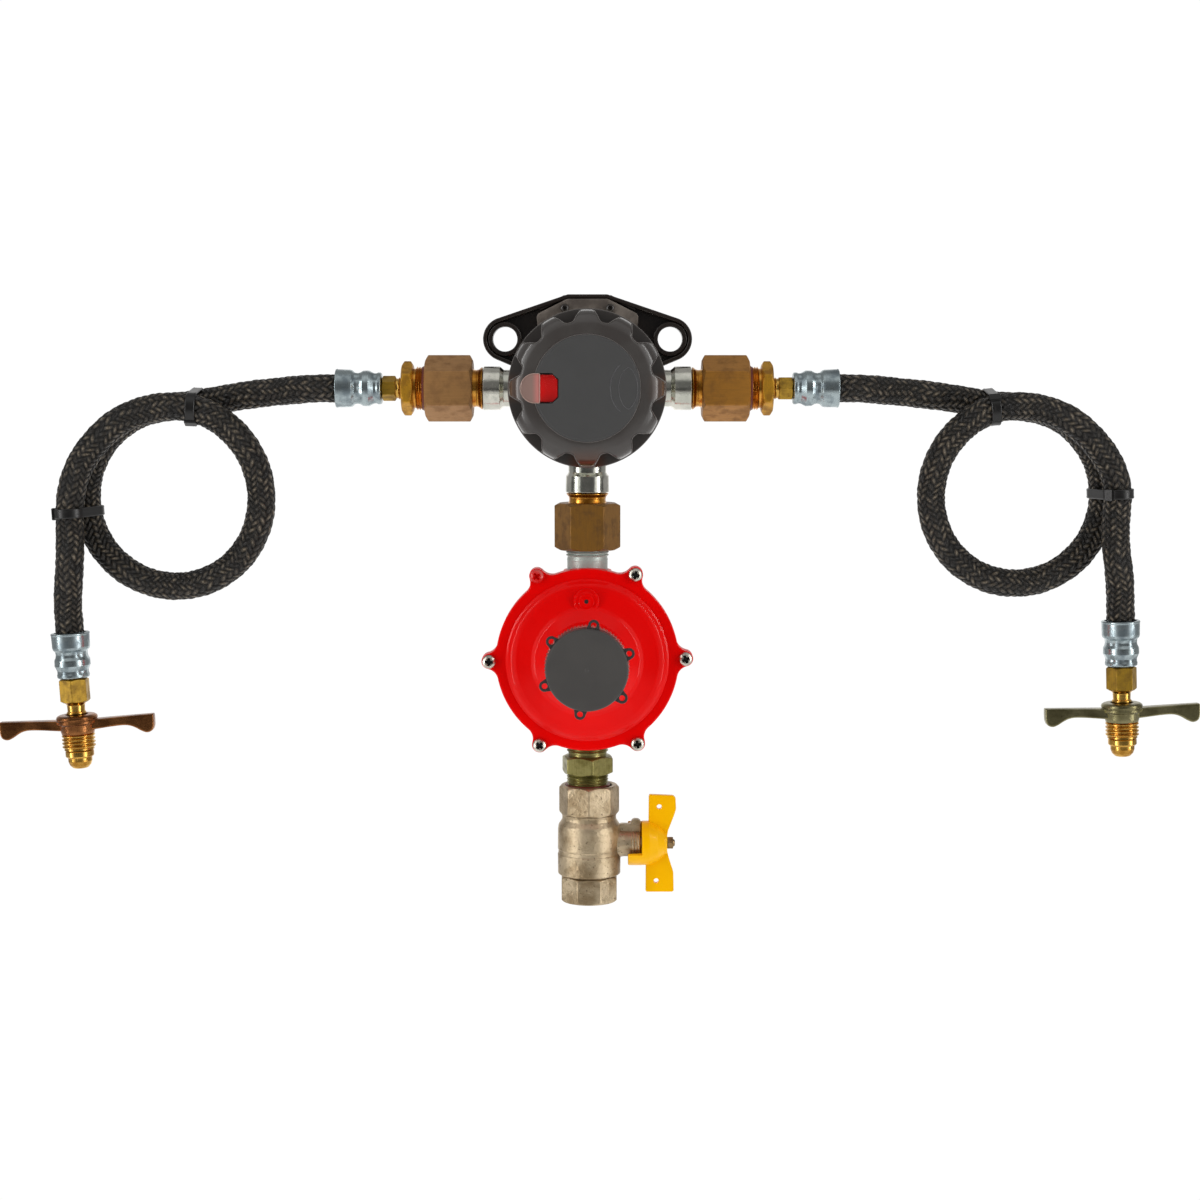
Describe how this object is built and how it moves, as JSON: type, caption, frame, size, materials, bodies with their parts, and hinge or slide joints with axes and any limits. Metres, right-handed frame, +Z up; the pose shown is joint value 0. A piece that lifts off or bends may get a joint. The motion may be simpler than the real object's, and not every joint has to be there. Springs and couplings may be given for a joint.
{
  "type": "automatic changeover gas regulator",
  "caption": "Wall-hung changeover set for gas cylinders: bracket, knob-topped first-stage body, coiled braided pigtails with wing connectors, red second-stage regulator, outlet ball valve.",
  "frame": {"origin": "on the bracket's wall face, midway between its two mounting holes", "axes": "+Y into the wall, +Z up, +X to the right seen from the front; the knob faces -Y"},
  "size_m": [0.7478, 0.107, 0.38],
  "materials": {
    "bracket_plastic": "moulded black, semi-gloss",
    "zinc_casting": "bright cast zinc alloy, mottled",
    "knob_plastic": "smoky dark moulding",
    "label": "matte grey disc",
    "window": "clear tinted lens",
    "red_flag": "red moulding",
    "old_brass": "oxidised machined brass",
    "bright_brass": "bright machined brass",
    "tail_brass": "dull machined brass",
    "ferrule_zinc": "zinc-plated crimped sleeve",
    "hose_rubber": "dark braided cover",
    "nylon_black": "black nylon",
    "wing_bronze": "cast bronze, brownish",
    "wing_olive": "cast bronze, olive",
    "red_paint": "glossy red enamel on a die casting",
    "grey_steel": "grey machined steel",
    "cap_plastic": "matte dark grey",
    "screw_nickel": "nickel-plated",
    "yellow_zinc": "yellow zinc plating",
    "sand_nickel": "sand-cast, nickel-plated",
    "handle_yellow": "yellow powder coat",
    "diaphragm_rubber": "moulded rubber",
    "plate_steel": "turned steel",
    "spring_steel": "spring wire",
    "ball_chrome": "hard chrome"
  },
  "bodies": {
    "regulator": {"wall_bracket": "bracket_plastic", "bracket_screw_left": "nylon_black", "bracket_screw_right": "nylon_black", "changeover_body": "zinc_casting", "bonnet": "zinc_casting", "first_stage_diaphragm": "diaphragm_rubber", "second_stage_diaphragm": "diaphragm_rubber", "first_stage_spring": "spring_steel", "second_stage_spring": "spring_steel", "port_adapter_left": "old_brass", "port_adapter_right": "old_brass", "port_adapter_outlet": "old_brass", "bushing_left": "bright_brass", "bushing_right": "bright_brass", "hose_tail_left": "tail_brass", "hose_tail_right": "tail_brass", "cylinder_spigot_left": "tail_brass", "cylinder_spigot_right": "tail_brass", "inlet_ferrule_left": "ferrule_zinc", "inlet_ferrule_right": "ferrule_zinc", "end_ferrule_left": "ferrule_zinc", "end_ferrule_right": "ferrule_zinc", "hose_left": "hose_rubber", "hose_right": "hose_rubber", "tie_left_top": "nylon_black", "tie_left_side": "nylon_black", "tie_right_top": "nylon_black", "tie_right_side": "nylon_black", "second_stage_body": "red_paint", "second_stage_cover": "red_paint", "second_stage_inlet": "grey_steel", "spring_cap": "cap_plastic", "cover_screw_1": "screw_nickel", "cover_screw_2": "screw_nickel", "cover_screw_3": "screw_nickel", "cover_screw_4": "screw_nickel", "cover_screw_5": "screw_nickel", "cover_screw_6": "screw_nickel", "outlet_nipple": "yellow_zinc", "valve_body": "sand_nickel", "valve_end": "sand_nickel"},
    "knob": {"selector_knob": "knob_plastic", "knob_label_disc": "label", "indicator_window": "window", "selector_cam": "plate_steel"},
    "flag": {"indicator_flag": "red_flag"},
    "first_plate": {"first_stage_plate": "plate_steel"},
    "left_valve": {"inlet_valve_left": "plate_steel"},
    "right_valve": {"inlet_valve_right": "plate_steel"},
    "second_plate": {"second_stage_plate": "plate_steel"},
    "lever": {"pressure_lever": "plate_steel"},
    "poppet": {"orifice_poppet": "tail_brass"},
    "adjuster": {"adjusting_screw": "tail_brass"},
    "handle": {"valve_handle": "handle_yellow", "valve_stem": "plate_steel", "valve_ball": "ball_chrome", "handle_nut": "screw_nickel"},
    "wing_left": {"wing_screw_left": "wing_bronze"},
    "wing_right": {"wing_screw_right": "wing_olive"}
  },
  "joints": [
    {"name": "knob_turn", "type": "hinge", "parent": "regulator", "child": "knob", "pos_m": [0, -0.073, -0.0308], "axis": [0, -1, 0], "range_deg": [0, 180]},
    {"name": "flag_slide", "type": "slide", "parent": "knob", "child": "flag", "axis": [-1, 0, 0], "range_m": [0, 0.0055]},
    {"name": "first_plate_slide", "type": "slide", "parent": "regulator", "child": "first_plate", "axis": [0, -1, 0], "range_m": [0, 0.002], "stiffness_N_per_m": 400, "springref_m": -0.002, "deforming": ["first_stage_spring", "first_stage_diaphragm"]},
    {"name": "left_valve_slide", "type": "slide", "parent": "regulator", "child": "left_valve", "axis": [1, 0, 0], "range_m": [0, 0.00073]},
    {"name": "right_valve_slide", "type": "slide", "parent": "regulator", "child": "right_valve", "axis": [-1, 0, 0], "range_m": [0, 0.00073]},
    {"name": "second_plate_slide", "type": "slide", "parent": "regulator", "child": "second_plate", "axis": [0, -1, 0], "range_m": [0, 0.0025], "stiffness_N_per_m": 400, "springref_m": -0.002, "deforming": ["second_stage_spring", "second_stage_diaphragm"]},
    {"name": "lever_turn", "type": "hinge", "parent": "regulator", "child": "lever", "pos_m": [0.0039, -0.03, -0.181], "axis": [-1, 0, 0], "range_deg": [0, 9]},
    {"name": "poppet_slide", "type": "slide", "parent": "regulator", "child": "poppet", "axis": [0, 0, 1], "range_m": [0, 0.00095]},
    {"name": "adjuster_turn", "type": "hinge", "parent": "regulator", "child": "adjuster", "pos_m": [0, -0.088, -0.1972], "axis": [0, -1, 0], "range_deg": [0, 720]},
    {"name": "valve_handle_turn", "type": "hinge", "parent": "regulator", "child": "handle", "pos_m": [0.045, -0.036, -0.3155], "axis": [-1, 0, 0], "range_deg": [0, 90]},
    {"name": "left_wing_turn", "type": "hinge", "parent": "regulator", "child": "wing_left", "pos_m": [-0.31797, -0.042, -0.2386], "axis": [0.0584, 0, -0.9983], "continuous": true},
    {"name": "right_wing_turn", "type": "hinge", "parent": "regulator", "child": "wing_right", "pos_m": [0.33299, -0.042, -0.23116], "axis": [0.0366, 0, -0.9993], "continuous": true}
  ],
  "couplings": [
    {"joint": "flag_slide", "follows": "first_plate_slide", "ratio": 2.75},
    {"joint": "left_valve_slide", "follows": "first_plate_slide", "ratio": 0.364},
    {"joint": "right_valve_slide", "follows": "first_plate_slide", "ratio": 0.364},
    {"joint": "lever_turn", "follows": "second_plate_slide", "rad_per_m": 61.7},
    {"joint": "poppet_slide", "follows": "second_plate_slide", "ratio": 0.37}
  ]
}
